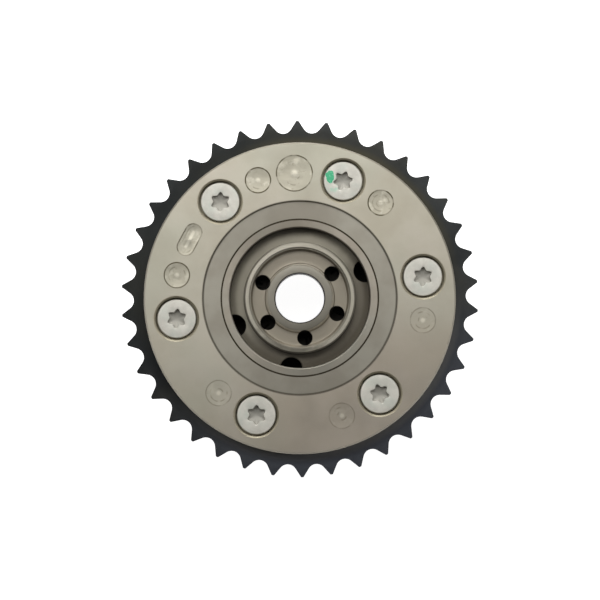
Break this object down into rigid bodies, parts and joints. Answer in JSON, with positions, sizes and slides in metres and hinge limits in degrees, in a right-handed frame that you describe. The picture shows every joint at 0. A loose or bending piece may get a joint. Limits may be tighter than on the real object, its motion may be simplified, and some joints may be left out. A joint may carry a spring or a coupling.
{
  "type": "cam phaser",
  "caption": "Vane-type camshaft phaser: a rotor turns between stops inside a toothed chain housing closed by bolted end plates, with a lock pin and a bias spring under a cap.",
  "frame": {"origin": "cam axis where it meets the plane that the spring cap rests on", "axes": "+Z along the cam axis, out of the camshaft side, +Y towards the top of the picture, +X to its right"},
  "size_m": [0.0986, 0.0988, 0.036],
  "materials": {
    "black_steel": "sintered steel, blackened",
    "cover_steel": "fine ground, satin",
    "bush_steel": "fine turned, satin",
    "rotor_steel": "sintered steel, machined",
    "bolt_steel": "plain zinc, satin",
    "hard_steel": "ground",
    "spring_steel": "rolled and tempered",
    "cap_steel": "pressed sheet, phosphated",
    "seal_plastic": "dull moulded resin"
  },
  "bodies": {
    "housing": {"toothed_housing": "black_steel", "cam_side_cover": "cover_steel", "cover_bush": "bush_steel", "front_plate": "cover_steel", "socket_bolts": "bolt_steel", "locating_dowels": "hard_steel", "lock_pin_seat": "hard_steel", "spring_anchor_pin": "hard_steel", "spring_cap": "cap_steel", "cap_screws": "bolt_steel", "lobe_seal_1": "seal_plastic", "lobe_seal_spring_1": "spring_steel", "lobe_seal_2": "seal_plastic", "lobe_seal_spring_2": "spring_steel", "lobe_seal_3": "seal_plastic", "lobe_seal_spring_3": "spring_steel", "lobe_seal_4": "seal_plastic", "lobe_seal_spring_4": "spring_steel", "lobe_seal_5": "seal_plastic", "lobe_seal_spring_5": "spring_steel", "lobe_seal_6": "seal_plastic", "lobe_seal_spring_6": "spring_steel"},
    "rotor": {"rotor": "rotor_steel", "lock_pin_plug": "hard_steel", "bias_spring": "spring_steel", "lock_pin_spring": "spring_steel", "vane_seal_1": "seal_plastic", "vane_seal_spring_1": "spring_steel", "vane_seal_2": "seal_plastic", "vane_seal_spring_2": "spring_steel", "vane_seal_3": "seal_plastic", "vane_seal_spring_3": "spring_steel", "vane_seal_4": "seal_plastic", "vane_seal_spring_4": "spring_steel", "vane_seal_5": "seal_plastic", "vane_seal_spring_5": "spring_steel"},
    "lock_pin": {"lock_pin": "hard_steel"}
  },
  "joints": [
    {"name": "rotor_phase", "type": "hinge", "parent": "housing", "child": "rotor", "pos_m": [0, 0, 0.02], "axis": [0, 0, 1], "range_deg": [-4.2, 18.6], "stiffness_Nm_per_rad": 1.1, "deforming": ["bias_spring"]},
    {"name": "lock_pin_slide", "type": "slide", "parent": "rotor", "child": "lock_pin", "axis": [0, 0, -1], "range_m": [0, 0.002], "stiffness_N_per_m": 500, "springref_m": -0.004, "deforming": ["lock_pin_spring"]}
  ]
}
